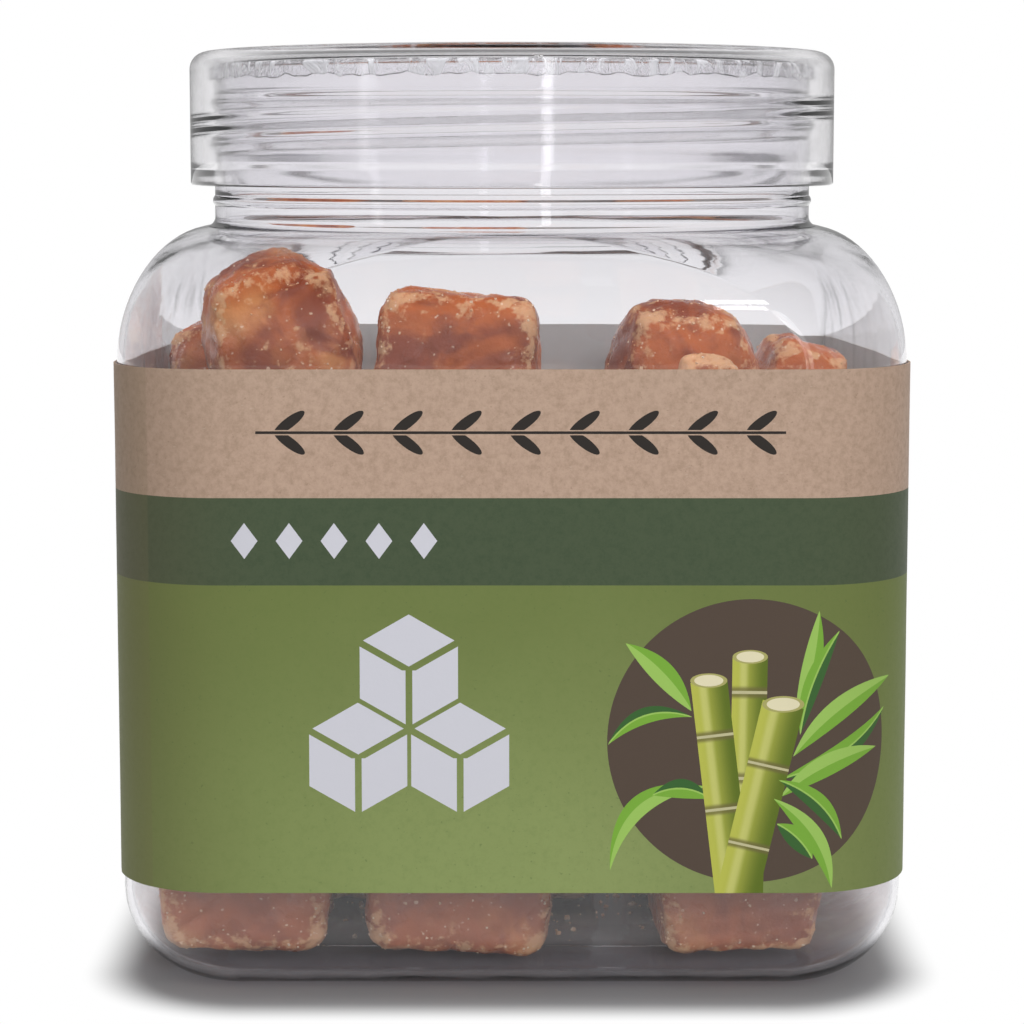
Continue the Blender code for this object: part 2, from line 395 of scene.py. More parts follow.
# lid: a plain straight cap with a rounded edge, a thread and a stop inside
lidShape = {
    "radius": lidHigh.x,
    "wall": 1.5 * mm,
    "top": 1.2 * mm,
    "edge": 2.2 * mm,
    "lip": 0.35 * mm,
    "recess": 0.35 * mm,
    "recessEdge": 5 * mm,
    "stopHeight": 2.0 * mm,
    "steps": 144,
    "threadProud": 0.35 * mm,
    "threadHalf": 1.5 * mm,
    "threadRise": 2.3 * mm,
}


def makeLid():
    shape = lidShape
    radius = shape["radius"]
    inner = radius - shape["wall"]
    top, bottom = lidHigh.z, lidLow.z
    ceiling = top - shape["top"]
    flatEdge = radius - shape["edge"]
    profile = [(0.0, top - shape["recess"])]
    profile += [(flatEdge * share, top - shape["recess"]) for share in (0.3, 0.6, 0.85)]
    profile += [(flatEdge - shape["recessEdge"] * 0.35, top - shape["recess"] * 0.5)]
    profile += [(flatEdge - 1 * mm, top)]
    profile += arcPoints((flatEdge, top - shape["edge"]), shape["edge"], 90, 0, 9)
    wallLength = top - shape["edge"] - bottom
    profile += [(radius, top - shape["edge"] - wallLength * share) for share in (0.25, 0.5, 0.75)]
    profile += arcPoints((radius - shape["lip"], bottom + shape["lip"]), shape["lip"], 0, -90, 3)
    profile += arcPoints((inner + 0.3 * mm, bottom + 0.3 * mm), 0.3 * mm, -90, -180, 3)
    stop = bottom + shape["stopHeight"]        # a low step that the neck runs up to
    for inward, rise in ((0.0, -0.4), (0.15, 0.0), (0.15, 0.3), (0.0, 0.7)):
        profile.append((inner - inward * mm, stop + rise * mm))
    start, end = stop + 1.1 * mm, ceiling - 1.2 * mm
    rings = 56
    profile += [(inner, start + (end - start) * step / rings) for step in range(rings + 1)]
    profile += arcPoints((inner - 0.9 * mm, ceiling - 0.9 * mm), 0.9 * mm, 0, 90, 4)
    for inward, drop in ((3.4, 0.0), (3.5, 0.2), (4.1, 0.2), (4.2, 0.0)):        # the lid's sealing ring
        profile.append((inner - inward * mm, ceiling - drop * mm))
    profile += [(inner * 0.5, ceiling), (0.0, ceiling)]
    bm = spinProfile(profile, shape["steps"])
    threadStart = jarShape["threadStart"] + shape["threadRise"]
    innerThread = dict(jarShape, threadStart=threadStart, threadHalf=shape["threadHalf"])
    for vert in bm.verts:
        reach = math.hypot(vert.co.x, vert.co.y)
        if abs(reach - inner) < 0.02 * mm and start - 0.01 * mm < vert.co.z < end + 0.01 * mm:
            push = shape["threadProud"] * threadPush(innerThread, vert.co)
            vert.co.x *= 1 - push / reach
            vert.co.y *= 1 - push / reach
    bmesh.ops.recalc_face_normals(bm, faces=bm.faces[:])
    lid = finishPiece("screwLid", bm, lidPlastic, sharpEdge)
    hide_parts("lid")


makeLid()
print("lid made")

# wrinkled film sealed over the rim
filmShape = {
    "radius": sealHigh.x,
    "skirt": 0.85 * mm,
    "skirtDrop": 1.7 * mm,
    "sag": 0.9 * mm,
    "folds": 31,
    "foldDepth": 0.28 * mm,
    "thickness": 0.06 * mm,
    "rings": 24,
    "steps": 288,
}


def makeFilmFinish():
    finish = Finish("filmPlastic")
    place = finish.place()
    crease = finish.blotches(finish.stretch(place, (1.0, 1.0, 0.5)), 2.2 * mm, 4.0, 0.6, 1.0)
    x, y, _ = finish.axes(place)
    rim = finish.between((x * x + y * y) ** 0.5, filmShape["radius"] - 4 * mm, filmShape["radius"])
    normal = finish.relief(crease * (0.06 + rim * 0.94), 0.5 * mm)        # taut and clear inside the rim
    clear = finish.node("ShaderNodeBsdfPrincipled", None, {
        "Base Color": (0.97, 0.97, 0.98),
        "Roughness": 0.08,
        "IOR": 1.5,
        "Transmission Weight": 1.0,
        "Normal": normal,
    })
    glintWhite = finish.node("ShaderNodeBsdfPrincipled", None, {
        "Base Color": (0.86, 0.86, 0.88), "Roughness": 0.18, "Specular IOR Level": 0.8, "Normal": normal,
    })
    through = finish.node("ShaderNodeBsdfTransparent", None, {"Color": (0.96, 0.96, 0.96)})
    # white patches on the folds near the rim: painted glints, which also carry a real gloss
    white = finish.between(crease, 0.48, 0.60) * rim * 0.9
    film = finish.node("ShaderNodeMixShader", None, {0: white, 1: clear, 2: glintWhite})
    lampRays = finish.lightPath("Is Shadow Ray", "Is Diffuse Ray")
    return finish.show(finish.node("ShaderNodeMixShader", None, {0: lampRays, 1: film, 2: through}))


def makeFilm():
    # taut over the mouth, crumpled where its skirt is folded down outside the rim
    shape = filmShape
    level = sealLow.z + 0.12 * mm
    profile = [(shape["radius"] * step / shape["rings"], level) for step in range(shape["rings"] + 1)]
    outer = shape["radius"] + shape["skirt"]
    profile += [(outer - 0.25 * mm, level - 0.05 * mm), (outer, level - 0.25 * mm)]
    skirtRings = 9
    for step in range(1, skirtRings + 1):
        profile.append((outer, level - 0.25 * mm - shape["skirtDrop"] * step / skirtRings))
    bm = spinProfile(profile, shape["steps"])
    for vert in bm.verts:
        reach = math.hypot(vert.co.x, vert.co.y)
        inward = max(0.0, 1 - reach / (shape["radius"] - 1.5 * mm))
        down = max(0.0, level - vert.co.z) / shape["skirtDrop"]
        angle = math.atan2(vert.co.y, vert.co.x)
        around = Vector((math.cos(angle) * 3.5, math.sin(angle) * 3.5, 0.0))
        fold = math.sin(angle * shape["folds"] + 9 * noise.noise(around))
        crumple = noise.noise(vert.co * 420) + 0.6 * noise.noise(vert.co * 900)
        vert.co.z -= shape["sag"] * min(1.0, inward * 2) ** 2 - 0.05 * mm * crumple * min(1.0, inward * 5)
        vert.co.z += down * 0.5 * mm * noise.noise(around * 6)        # a ragged lower edge
        pleat = shape["foldDepth"] * (0.6 * fold + 0.7 * crumple) * min(1.0, down * 2.5)
        outwards = 1 + pleat / max(reach, mm)
        vert.co.x *= outwards
        vert.co.y *= outwards
    bmesh.ops.recalc_face_normals(bm, faces=bm.faces[:])
    bmesh.ops.solidify(bm, geom=bm.faces[:], thickness=shape["thickness"])
    film = finishPiece("rimFilm", bm, makeFilmFinish())
    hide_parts("rim_seal")


makeFilm()
print("rim film made")

# paper label round the body, printed in bands of colour with a disc of sugar cane
labelShape = {
    "thickness": 0.20 * mm,
    "corner": 13 * mm,
    "pointsPerCorner": 24,
    "rows": 40,
    "ripple": 0.05 * mm,
    "lap": (-52 * mm, -43 * mm),
    "lapRise": 0.08 * mm,
}
labelPrint = {
    "kraftEdge": 60.6,
    "greenEdge": 50.4,
    "kraft": (0.53, 0.375, 0.285),
    "kraftDark": (0.38, 0.265, 0.190),
    "deepGreen": (0.072, 0.098, 0.054),
    "deepGreenDark": (0.048, 0.075, 0.040),
    "leafGreen": (0.285, 0.350, 0.130),
    "leafGreenHigh": (0.150, 0.190, 0.055),
    "ink": (0.030, 0.025, 0.022),
    "white": (0.66, 0.66, 0.72),
    "disc": (0.092, 0.066, 0.050),
    "discCentre": (27.9, 32.0),
    "discRadius": 16.8,
    "back": (0.76, 0.78, 0.73),
}
# leaves of the cane: foot, tip, half width, bend to the left of the way it grows, and its two tones
bright, fresh, shade = (0.200, 0.420, 0.050), (0.340, 0.560, 0.120), (0.045, 0.130, 0.035)
leavesBehind = [
    ((20.9, 35.6), (13.2, 43.6), 1.35, -0.7, bright, fresh),
    ((21.0, 34.9), (11.2, 31.6), 0.95, -1.9, shade, bright),
    ((23.0, 26.6), (11.5, 16.6), 1.20, -3.6, bright, fresh),
    ((23.2, 25.2), (16.4, 25.6), 1.15, -1.0, shade, bright),
    ((33.0, 33.8), (35.7, 47.4), 1.15, -0.5, bright, fresh),
    ((33.6, 32.8), (38.2, 45.0), 1.00, 0.8, shade, bright),
    ((32.8, 30.2), (46.0, 39.0), 1.35, 1.5, bright, fresh),
    ((31.6, 27.6), (45.0, 35.4), 1.15, -1.0, shade, bright),
    ((31.4, 25.4), (43.6, 30.8), 1.30, 1.2, bright, fresh),
]
leavesBefore = [
    ((31.2, 27.4), (38.8, 20.2), 1.10, 1.2, shade, bright),
    ((30.6, 25.2), (37.6, 14.4), 1.15, 1.5, bright, fresh),
    ((31.0, 22.2), (35.2, 18.0), 1.25, 0.5, shade, bright),
]
# stalks of the cane: foot, cut top, half width, where its joints are along it
caneStalks = [
    ((27.4, 12.0), (27.7, 42.0), 2.05, (0.52, 0.86)),
    ((26.2, 12.0), (22.9, 39.2), 2.15, (0.44, 0.76)),
    ((26.0, 12.0), (31.6, 36.4), 2.45, (0.31, 0.70)),
]


def lineFrame(along, height, foot, tip):
    # share of the way from foot to tip, and how far to its left
    reach = Vector(tip) - Vector(foot)
    aim = reach.normalized()
    right, up = along - foot[0], height - foot[1]
    return (right * aim.x + up * aim.y) / reach.length, up * aim.x - right * aim.y


def paintLeaf(finish, ground, along, height, leaf):
    foot, tip, half, bend, tone, light = leaf
    share, aside = lineFrame(along, height, foot, tip)
    hump = share * (1 - share) * 4
    off = aside - hump * bend
    leafColor = finish.tint(off > 0, tone, light)
    leafColor = finish.tint(abs(off) < 0.10, leafColor, fresh)
    return finish.tint(hump * half > abs(off), ground, leafColor)


def paintStalk(finish, ground, along, height, stalk):
    foot, top, half, joints = stalk
    share, aside = lineFrame(along, height, foot, top)
    across = aside / half
    stalkColor = finish.tint(finish.between(across, -0.9, 0.9), (0.115, 0.165, 0.020), (0.50, 0.52, 0.090))
    gleam = finish.between(abs(across - 0.35), 0.35, 0.05) * 0.55
    stalkColor = finish.tint(gleam, stalkColor, (0.68, 0.68, 0.24))
    for joint in joints:
        gap = abs(share - joint)
        stalkColor = finish.tint(finish.between(gap, 0.030, 0.012) * 0.8, stalkColor, (0.155, 0.135, 0.050))
        stalkColor = finish.tint(gap < 0.006, stalkColor, (0.55, 0.52, 0.30))
    inside = (abs(across) < 1) * (share > 0) * (share < 1)
    ground = finish.tint(inside, ground, stalkColor)
    high = (height - top[1]) / (half * 0.40)
    wide = (along - top[0]) / half
    spot = wide * wide + high * high
    cut = finish.tint(spot < 0.62, (0.42, 0.40, 0.14), (0.80, 0.74, 0.50))
    return finish.tint(spot < 1, ground, cut)


def cubeMark(finish, along, height, centre, radius):
    # a cube seen corner on: a six sided outline with a gap between its three faces
    right, up = along - centre[0], height - centre[1]
    side = abs(right)
    outline = side.atLeast(side * 0.5 + abs(up) * 0.866) < radius * 0.866
    down = (side < radius * 0.06) * (up < 0)
    slope = (abs(up - side * 0.577) < radius * 0.07) * (up > 0)
    return outline * (1 - down.atLeast(slope))


def makeLabelPaper(art):
    finish = Finish("labelPaper")
    place = finish.place()
    uv = finish.node("ShaderNodeUVMap", {"uv_map": "print"})
    along, height, _ = [axis / mm for axis in finish.axes(uv)]
    mottle = finish.blotches(place, 0.8 * mm, 4.0, 0.75)
    fleckNoise = finish.blotches(place, 0.5 * mm, 2.0, 0.6)
    fibre = finish.blotches(finish.stretch(place, (1.0, 1.0, 4.0)), 0.9 * mm, 3.0, 0.6)
    flecks = finish.between(fleckNoise, 0.66, 0.74)
    paleFlecks = finish.between(fibre, 0.66, 0.74)
    soft = finish.blotches(place, 14 * mm, 2.0)
    kraft = finish.tint(finish.between(mottle, 0.30, 0.85), art["kraft"], art["kraftDark"])
    kraft = finish.tint(flecks * 0.35, kraft, (0.22, 0.14, 0.09))
    kraft = finish.tint(paleFlecks * 0.35, kraft, (0.66, 0.54, 0.44))
    rise = finish.between(height, 50.0, 14.0) * 0.75 + soft * 0.25
    middleOut = finish.between(abs(along), 46.0, 8.0)
    leafy = finish.tint(rise * (0.35 + middleOut * 0.65), art["leafGreenHigh"], art["leafGreen"])
    leafy = finish.tint(finish.between(mottle, 0.40, 0.85) * 0.25, leafy, (0.12, 0.18, 0.05))
    leafy = finish.tint(flecks * 0.45, leafy, (0.10, 0.15, 0.05))
    deep = finish.tint(finish.between(mottle, 0.35, 0.80) * 0.6, art["deepGreen"], art["deepGreenDark"])

    marks = cubeMark(finish, along, height, (-12.0, 40.4), 6.6)
    for offset in (-5.95, 5.95):
        marks = marks.atLeast(cubeMark(finish, along, height, (-12.0 + offset, 30.0), 6.6))
    leafy = finish.tint(marks, leafy, art["white"])
    across, up = along - art["discCentre"][0], height - art["discCentre"][1]
    picture = finish.tint((across * across + up * up) < art["discRadius"] ** 2, leafy, art["disc"])
    for leaf in leavesBehind:
        picture = paintLeaf(finish, picture, along, height, leaf)
    for stalk in caneStalks:
        picture = paintStalk(finish, picture, along, height, stalk)
    for leaf in leavesBefore:
        picture = paintLeaf(finish, picture, along, height, leaf)

    step = finish.node("ShaderNodeMath", {"operation": "PINGPONG"}, {0: along + 31.0, 1: 2.6})
    lozenge = ((step / 1.55 + abs(height - 55.6) / 2.1) < 1) * (abs(along + 20.6) < 13.0)
    deep = finish.tint(lozenge, deep, art["white"])
    beat = finish.node("ShaderNodeMath", {"operation": "WRAP"}, {0: along, 1: 3.4, 2: -3.4})
    aside = abs(height - 68.2)
    long = (beat * 0.80 + aside * 0.60 - 1.9) / 2.2
    wide = (aside * 0.80 - beat * 0.60) / 0.62
    sprig = (((long * long + wide * wide) < 1) * (aside > 0.30)).atLeast(aside < 0.16)
    kraft = finish.tint(sprig * (abs(along - 1.0) < 30.6), kraft, art["ink"])

    color = finish.tint(height > art["greenEdge"], picture, deep)
    color = finish.tint(height > art["kraftEdge"], color, kraft)
    # painted shade: the label darkens towards its side corners, most on the left, away from the key light
    sideShade = finish.between(abs(along), 26.0, 47.0) * finish.between(along, 20.0, -20.0, 0.35, 1.0)
    color = finish.tint(sideShade * 0.30, color, (0.09, 0.065, 0.035))
    # painted shade: the strip where one end of the paper lies over the other is darkened
    lap = finish.between(along, -43.0, -43.3) * finish.between(along, -52.3, -52.0)
    color = finish.tint(lap * 0.22, color, (0.16, 0.13, 0.07))
    rough = 0.46 + mottle * 0.16
    normal = finish.relief(mottle * 0.6 + fleckNoise * 0.4, 0.05 * mm, 0.4)
    values = {"Base Color": color, "Roughness": rough, "Specular IOR Level": 0.2, "Normal": normal}
    return finish.show(finish.node("ShaderNodeBsdfPrincipled", None, values))


def makeLabelBack(art):
    finish = Finish("labelBack")
    place = finish.place()
    dust = finish.between(finish.blotches(place, 5 * mm, 5.0, 0.7), 0.55, 0.72)
    grey = finish.tint(finish.blotches(place, 2 * mm, 4.0), art["back"], (0.66, 0.69, 0.63))
    color = finish.tint(dust * 0.35, grey, (0.72, 0.72, 0.70))
    values = {"Base Color": color, "Roughness": 0.5 + dust * 0.2, "Specular IOR Level": 0.3}
    return finish.show(finish.node("ShaderNodeBsdfPrincipled", None, values))


def makeLabel():
    shape = labelShape
    outer = labelHigh.x
    corner = shape["corner"] + outer - bodyHalf
    flat = outer - corner
    quarter = math.radians(90)
    sleeve = []        # (x, y, distance along the paper) anticlockwise from the middle of the back
    run = 0.0
    for side in range(4):
        turn = Matrix.Rotation(quarter * side, 2)
        outline = [(flat * share, outer) for share in (0.0, -0.25, -0.5, -0.75)]
        for step in range(shape["pointsPerCorner"] + 1):
            angle = quarter * (1 + step / shape["pointsPerCorner"])
            outline.append((-flat + corner * math.cos(angle), flat + corner * math.sin(angle)))
        outline += [(-outer, flat * share) for share in (0.75, 0.5, 0.25)]
        for point in outline:
            spot = turn @ Vector(point)
            if sleeve:
                run += (spot - Vector(sleeve[-1][:2])).length
            sleeve.append((spot.x, spot.y, run))
    whole = run + (Vector(sleeve[0][:2]) - Vector(sleeve[-1][:2])).length
    bm = bmesh.new()
    uvLayer = bm.loops.layers.uv.new("print")
    runLayer = bm.verts.layers.float.new("run")
    verts = []
    for x, y, distance in sleeve + [(sleeve[0][0], sleeve[0][1], whole)]:
        vert = bm.verts.new((x, y, labelLow.z))
        vert[runLayer] = distance
        verts.append(vert)
    edges = [bm.edges.new(pair) for pair in zip(verts, verts[1:])]
    tall = labelHigh.z - labelLow.z
    for row in range(shape["rows"]):
        grown = bmesh.ops.extrude_edge_only(bm, edges=edges)["geom"]
        newVerts = {item for item in grown if isinstance(item, bmesh.types.BMVert)}
        grownEdges = [item for item in grown if isinstance(item, bmesh.types.BMEdge)]
        edges = [edge for edge in grownEdges if newVerts.issuperset(edge.verts)]
        bmesh.ops.translate(bm, vec=(0, 0, tall / shape["rows"]), verts=list(newVerts))
    for face in bm.faces:
        for loop in face.loops:
            loop[uvLayer].uv = (loop.vert[runLayer] - whole / 2, loop.vert.co.z)
    bmesh.ops.remove_doubles(bm, verts=bm.verts[:], dist=0.002 * mm)
    bmesh.ops.recalc_face_normals(bm, faces=bm.faces[:])
    bm.normal_update()
    lapStart, lapEnd = shape["lap"]
    for vert in bm.verts:
        vert.co -= vert.normal * shape["ripple"] * (0.5 + 0.5 * noise.noise(vert.co * 90))
        if lapStart < vert[runLayer] - whole / 2 < lapEnd:        # one end of the paper lies over the other
            vert.co += vert.normal * shape["lapRise"]
    bmesh.ops.solidify(bm, geom=bm.faces[:], thickness=shape["thickness"])
    bm.normal_update()
    for face in bm.faces:        # the unprinted side faces the jar
        middle = face.calc_center_median()
        face.material_index = int(face.normal.x * middle.x + face.normal.y * middle.y < -0.2 * middle.length)
    printed = makeLabelPaper(labelPrint)
    label = finishPiece("wrapLabel", bm, printed, sharpEdge)
    label.data.materials.append(makeLabelBack(labelPrint))
    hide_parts("label")


makeLabel()
print("label made")

# jaggery: cast blocks of cane sugar, cloudy amber with a pale crust along their edges
jaggeryLook = {
    "amber": (0.54, 0.125, 0.020),
    "dark": (0.27, 0.045, 0.008),
    "pale": (0.76, 0.33, 0.110),
    "haze": (0.58, 0.19, 0.060),
    "lowerTone": (0.46, 0.150, 0.075),
    "crust": (0.82, 0.50, 0.270),
    "speck": (0.95, 0.74, 0.540),
}


def makeJaggery(name, look):
    finish = Finish(name)
    place = finish.place()
    crust = finish.node("ShaderNodeAttribute", {"attribute_name": "crust"}, None, 2)
    height = finish.axes(place)[2]
    cloud = finish.blotches(place, 8 * mm, 3.0, 0.55, 0.8)
    drift = finish.blotches(place, 15 * mm, 2.0, 0.5, 0.3)
    veil = finish.blotches(place, 4.5 * mm, 4.0, 0.6, 1.2)
    grain = finish.blotches(place, 1.3 * mm, 3.0, 0.6)
    fine = finish.blotches(place, 0.5 * mm, 1.0)
    color = finish.tint(finish.between(cloud, 0.40, 0.64), look["amber"], look["dark"])
    glow = finish.between(drift, 0.52, 0.66) * finish.between(cloud, 0.60, 0.42)
    color = finish.tint(glow * 0.85, color, look["pale"])
    color = finish.tint(finish.between(veil, 0.56, 0.70) * 0.45, color, look["haze"])
    # the cubes turn a duller brown towards the bottom of the jar
    lowerTone = finish.between(height, 42 * mm, 18 * mm)
    color = finish.tint(lowerTone * (0.30 + veil * 0.5), color, look["lowerTone"])
    frost = finish.between(crust + (grain - 0.5) * 2.6 + (veil - 0.5) * 1.2, 0.45, 1.0)
    color = finish.tint(frost * 0.70, color, look["crust"])
    dots = 0.0
    for size, low, high in ((1.3 * mm, 0.40, 0.52), (0.75 * mm, 0.50, 0.62)):
        cell = finish.node("ShaderNodeTexVoronoi", None, {"Vector": place, "Scale": 1 / size})
        grains = finish.between(cell + fine * 0.9, 0.56, 0.44)
        dots = (grains * finish.between(veil + crust * 0.10, low, high)).atLeast(dots)
    color = finish.tint(dots * 0.6, color, look["speck"])
    shine = finish.between(finish.blotches(place, 3.5 * mm, 2.0), 0.35, 0.65, 0.24, 0.46)
    normal = finish.relief(grain * 0.6 + fine * 0.25 + cloud * 0.8, 0.30 * mm, 0.6)
    values = {
        "Base Color": color,
        "Roughness": (shine + frost * 0.25).atMost(0.85),
        "Specular IOR Level": 0.5,
        "Subsurface Weight": 0.15,
        "Subsurface Radius": (1.0, 0.4, 0.15),
        "Subsurface Scale": 2 * mm,
        "Normal": normal,
    }
    return finish.show(finish.node("ShaderNodeBsdfPrincipled", None, values))


cubeShape = {
    "voxel": 0.56 * mm,
    "hiddenVoxel": 1.4 * mm,
    "lump": 0.6 * mm,
    "lumpSize": 8 * mm,
    "facet": 0.5 * mm,
    "facetSize": 5 * mm,
    "pit": 0.30 * mm,
    "pitSize": 2.4 * mm,
    "grain": 0.12 * mm,
    "grainSize": 0.9 * mm,
    "chip": 1.3 * mm,
    "chipSize": 3.2 * mm,
    "crustDepth": 0.16 * mm,
    "smoothings": 10,
}
roundedCubes = (28, 30, 31, 32, 33)        # melted into humps, the others are still square
bottomCubes = 9        # the lowest layer, seen under the label
firstTopCube = 28        # from here up they lie on top, and the ones between are behind the label


def inView(name):
    number = int(name[-2:])
    return number <= bottomCubes or number >= firstTopCube


def boxOf(bm):
    low = Vector([min(vert.co[axis] for vert in bm.verts) for axis in range(3)])
    high = Vector([max(vert.co[axis] for vert in bm.verts) for axis in range(3)])
    return low, high


def remeshed(nodeName, voxel, rounded):
    bm = bmesh.new()
    bm.from_mesh(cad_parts[nodeName].data)
    bmesh.ops.remove_doubles(bm, verts=bm.verts[:], dist=0.01 * mm)
    rough = bpy.data.meshes.new("roughCube")
    bm.to_mesh(rough)
    bm.free()
    helper = bpy.data.objects.new("roughCube", rough)
    bpy.context.scene.collection.objects.link(helper)
    if rounded:
        rounding = helper.modifiers.new("rounding", "SUBSURF")
        rounding.levels = rounding.render_levels = 2
    voxels = helper.modifiers.new("voxels", "REMESH")
    voxels.mode = "VOXEL"
    voxels.voxel_size = voxel
    graph = bpy.context.evaluated_depsgraph_get()
    made = bpy.data.meshes.new_from_object(helper.evaluated_get(graph))
    bpy.data.objects.remove(helper)
    bm = bmesh.new()
    bm.from_mesh(made)
    bpy.data.meshes.remove(made)
    bpy.data.meshes.remove(rough)
    low, high = boxOf(bm)        # the rounding drew it in a little
    wantedLow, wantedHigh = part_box(nodeName)
    for vert in bm.verts:
        for axis in range(3):
            share = (vert.co[axis] - low[axis]) / (high[axis] - low[axis])
            vert.co[axis] = wantedLow[axis] + share * (wantedHigh[axis] - wantedLow[axis])
    return bm


def smoothCube(bm, rounds):
    for _ in range(rounds):
        bmesh.ops.smooth_vert(
            bm, verts=bm.verts[:], factor=0.5, use_axis_x=True, use_axis_y=True, use_axis_z=True
        )


def makeCube(nodeName, material, shown):
    shape = cubeShape
    number = int(nodeName[-2:])
    bm = remeshed(nodeName, shape["voxel"] if shown else shape["hiddenVoxel"], number in roundedCubes)
    crustLayer = bm.verts.layers.float.new("crust")
    smoothCube(bm, 4 if shown else 1)        # takes the facets off
    bm.normal_update()
    before = [vert.co.copy() for vert in bm.verts]
    outward = [vert.normal.copy() for vert in bm.verts]
    smoothCube(bm, shape["smoothings"] if shown else shape["smoothings"] // 3)
    offset = Vector((number * 0.031, 0.0, 0.0))
    for index, vert in enumerate(bm.verts):
        start, normal = before[index], outward[index]
        edge = max(0.0, (start - vert.co).dot(normal)) / shape["crustDepth"]
        spot = start + offset
        lump = noise.noise(spot / shape["lumpSize"])
        pit = noise.noise(spot / shape["pitSize"])
        grain = noise.noise(spot / shape["grainSize"])
        chip = max(0.0, noise.noise(spot / shape["chipSize"] + Vector((5, 0, 0))) - 0.05)
        crease = abs(noise.noise(spot / shape["facetSize"] + Vector((0, 3, 0))))
        push = shape["lump"] * (lump - 0.1) + shape["pit"] * pit + shape["grain"] * grain * (0.6 + edge)
        push -= shape["facet"] * max(0.0, 0.16 - crease) * 2.2
        vert.co = start + normal * (push - shape["chip"] * chip * min(1.0, edge))
        vert[crustLayer] = min(1.0, edge)
    piece = finishPiece(nodeName.replace("jaggery_cube_", "jaggeryCube"), bm, material)
    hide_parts(nodeName)
    return piece


jaggery = makeJaggery("jaggery", jaggeryLook)
sugarCubes = []
for name in cubeNames:
    sugarCubes.append(makeCube(name, jaggery, inView(name)))
print("jaggery cubes made")

# sugar crumbs on the cubes and on the jar's floor
crumbShape = {"onCubes": 6500, "onFloor": 320, "small": 0.12 * mm, "large": 0.42 * mm, "seed": 11}


def makeCrumbFinish():
    finish = Finish("sugarCrumb")
    tone = finish.blotches(finish.place(), 2.5 * mm, 1.0)
    color = finish.tint(finish.between(tone, 0.35, 0.65), (0.90, 0.72, 0.54), (0.74, 0.42, 0.22))
    values = {"Base Color": color, "Roughness": 0.35 + tone * 0.2}
    return finish.show(finish.node("ShaderNodeBsdfPrincipled", None, values))


def addCrumb(bm, spot, size, rng):
    turn = Matrix.Rotation(rng.uniform(0, math.tau), 4, Vector((rng.random(), rng.random(), 1)))
    scale = Matrix.Diagonal((size, size * rng.uniform(0.6, 1.0), size * rng.uniform(0.6, 1.0), 1))
    bmesh.ops.create_cube(bm, size=1.0, matrix=Matrix.Translation(spot) @ turn @ scale)


def makeCrumbs():
    rng = random.Random(crumbShape["seed"])
    bm = bmesh.new()
    shown = [cube for cube in sugarCubes if inView(cube.name)]
    total = sum(len(cube.data.vertices) for cube in shown)
    for cube in shown:
        mesh = cube.data
        crust = mesh.attributes["crust"].data
        wanted = round(crumbShape["onCubes"] * len(mesh.vertices) / total)
        while wanted:
            vert = mesh.vertices[rng.randrange(len(mesh.vertices))]
            if rng.random() > 0.12 + crust[vert.index].value:
                continue
            size = rng.uniform(crumbShape["small"], crumbShape["large"]) * rng.uniform(0.5, 1.0)
            addCrumb(bm, vert.co - vert.normal * size * 0.15, size, rng)
            wanted -= 1
    floorZ = jarShape["pushUp"] + jarShape["floor"]
    reach = bodyHalf - jarShape["baseRound"] - jarShape["standingRing"] - 2 * mm
    for _ in range(crumbShape["onFloor"]):
        size = rng.uniform(crumbShape["small"], crumbShape["large"] * 1.5)
        x, y = rng.uniform(-reach, reach), rng.uniform(-reach, reach)
        addCrumb(bm, Vector((x, y, floorZ + size * 0.4)), size, rng)
    crumbs = finishPiece("sugarCrumbs", bm, makeCrumbFinish())
    for polygon in crumbs.data.polygons:
        polygon.use_smooth = False


makeCrumbs()
print("crumbs made")

# floor, lamps, world and camera
stageLook = {
    "shadowFloorGrey": (0.34, 0.34, 0.345),
    "floorSize": 3.0,
    "corner": 16 * mm,
    "shadowReach": (-2 * mm, 6 * mm),
    "skyLight": 0.42,
    "mirrored": 0.38,
    "skyHigh": 0.30,
    "backdrop": 1.0,
}


def makeFloor(look):
    bm = bmesh.new()
    bmesh.ops.create_grid(bm, x_segments=2, y_segments=2, size=look["floorSize"])
    mesh = bpy.data.meshes.new("floor")
    bm.to_mesh(mesh)
    bm.free()
    finish = Finish("floorPaper")
    x, y, _ = finish.axes(finish.place())
    outX = (abs(x) - (bodyHalf - look["corner"])).atLeast(0.0)
    outY = (abs(y) - (bodyHalf - look["corner"])).atLeast(0.0)
    away = (outX * outX + outY * outY) ** 0.5 - look["corner"]        # how far out from under the jar's sides
    seen = finish.lightPath("Is Camera Ray", "Is Glossy Ray", "Is Transmission Ray")
    # by the jar the floor is dark grey: real shadow from the lamps, deepened by painted shadow
    shadowedFloor = finish.node("ShaderNodeBsdfDiffuse", None, {"Color": look["shadowFloorGrey"]})
    far = finish.node("ShaderNodeEmission", None, {"Color": (1, 1, 1), "Strength": look["backdrop"]})
    fade = seen * finish.between(away, *look["shadowReach"])        # plain white past the shadow
    mesh.materials.append(finish.show(finish.node("ShaderNodeMixShader", None, {0: fade, 1: shadowedFloor, 2: far})))
    floor = bpy.data.objects.new("floor", mesh)
    bpy.context.scene.collection.objects.link(floor)


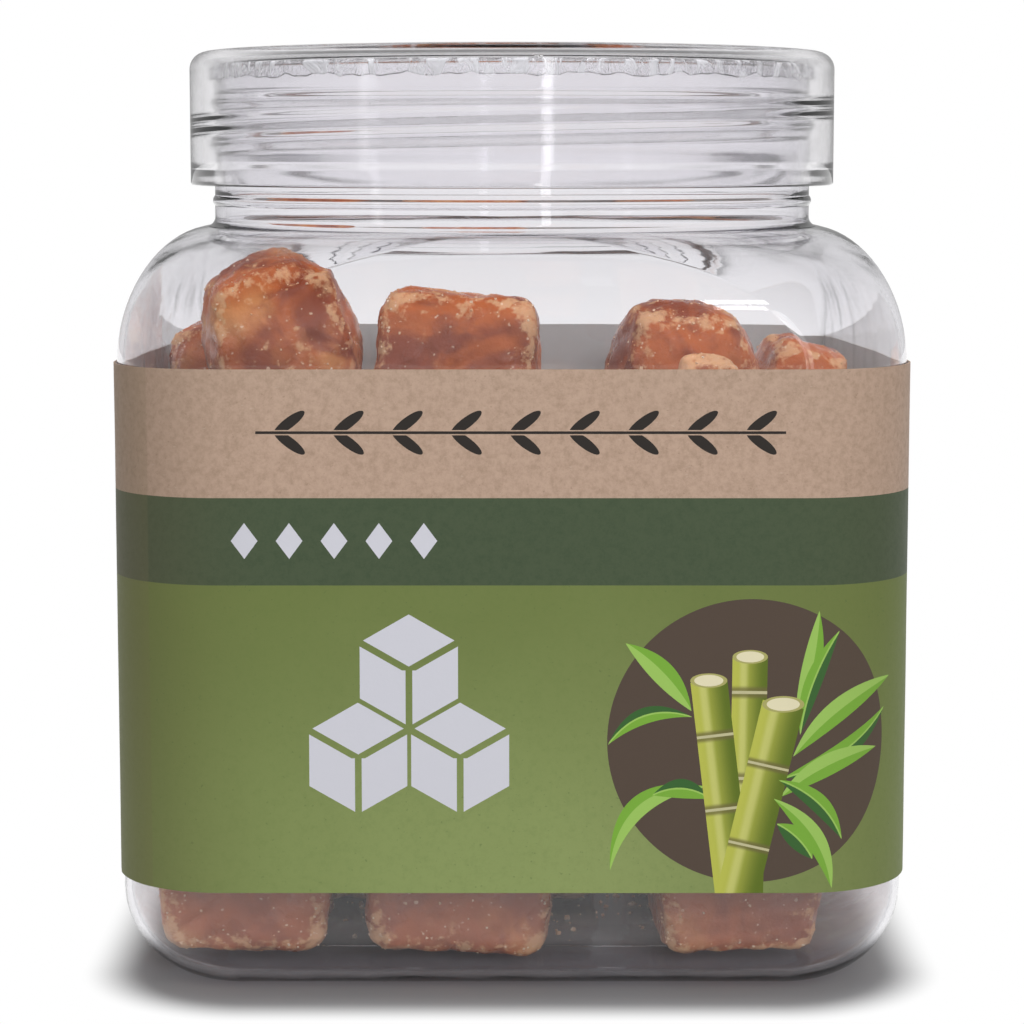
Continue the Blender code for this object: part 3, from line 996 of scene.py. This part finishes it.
def makeWorld(look):
    world = bpy.data.worlds.new("studio")
    bpy.context.scene.world = world
    finish = Finish("studio", world)
    direction = finish.node("ShaderNodeTexCoord", None, None, 0)
    up = finish.axes(direction)[2]
    seen = finish.lightPath("Is Camera Ray")
    clear = finish.lightPath("Is Transmission Ray")
    shiny = finish.lightPath("Is Glossy Ray") * (1 - clear)
    high = finish.between(up, 0.30, 0.80, 1.0, look["skyHigh"])
    strength = (shiny * look["mirrored"] + clear * look["backdrop"]) * high
    strength = strength + (1 - shiny - clear) * look["skyLight"]
    strength = seen * look["backdrop"] + (1 - seen) * strength
    sky = finish.node("ShaderNodeBackground", None, {"Color": (1, 1, 1), "Strength": strength})
    finish.node("ShaderNodeOutputWorld", None, {"Surface": sky})


def addLamp(name, place, size, power, mirrored):
    light = bpy.data.lights.new(name, "AREA")
    light.shape = "RECTANGLE"
    light.size, light.size_y = size
    light.energy = power
    lamp = bpy.data.objects.new(name, light)
    bpy.context.scene.collection.objects.link(lamp)
    lamp.location = place
    lamp.rotation_euler = (middle - Vector(place)).to_track_quat("-Z", "Y").to_euler()
    lamp.visible_glossy = mirrored        # only the slim strips show in the plastic
    lamp.visible_transmission = mirrored


cameraSetup = {
    "distance": 0.3686,
    "height": 0.1006,
    "pitch": 6.3,
    "lens": 98.44,
    "shiftY": -0.0518,
}


def makeCamera(setup):
    data = bpy.data.cameras.new("camera")
    data.lens = setup["lens"]
    data.sensor_width = 36
    data.shift_y = setup["shiftY"]
    data.clip_start = 0.01
    data.clip_end = 20
    camera = bpy.data.objects.new("camera", data)
    bpy.context.scene.collection.objects.link(camera)
    camera.location = (0, -setup["distance"], setup["height"])
    camera.rotation_euler = (math.radians(90 - setup["pitch"]), 0, 0)
    bpy.context.scene.camera = camera


makeFloor(stageLook)
makeWorld(stageLook)
middle = (cadBox[0] + cadBox[1]) / 2
addLamp("keyLamp", (0.30, -0.70, 0.42), (0.40, 0.40), 2.9, False)
addLamp("fillLamp", (-0.62, -0.50, 0.30), (0.40, 0.40), 0.9, False)
addLamp("topLamp", (0.05, -0.05, 0.85), (0.60, 0.60), 4.0, False)
addLamp("keyStrip", (0.155, -0.72, 0.20), (0.045, 0.42), 0.16, True)
addLamp("sideStrip", (-0.62, -0.50, 0.18), (0.05, 0.36), 0.08, True)
addLamp("smallStrip", (0.105, -0.62, 0.44), (0.035, 0.03), 0.05, True)
makeCamera(cameraSetup)
bpy.context.scene.view_settings.view_transform = "Standard"
bpy.context.scene.cycles.max_bounces = 14        # enough to see through jar, lid and film and back
bpy.context.scene.cycles.transmission_bounces = 14
bpy.context.scene.cycles.transparent_max_bounces = 14
print("stage set")
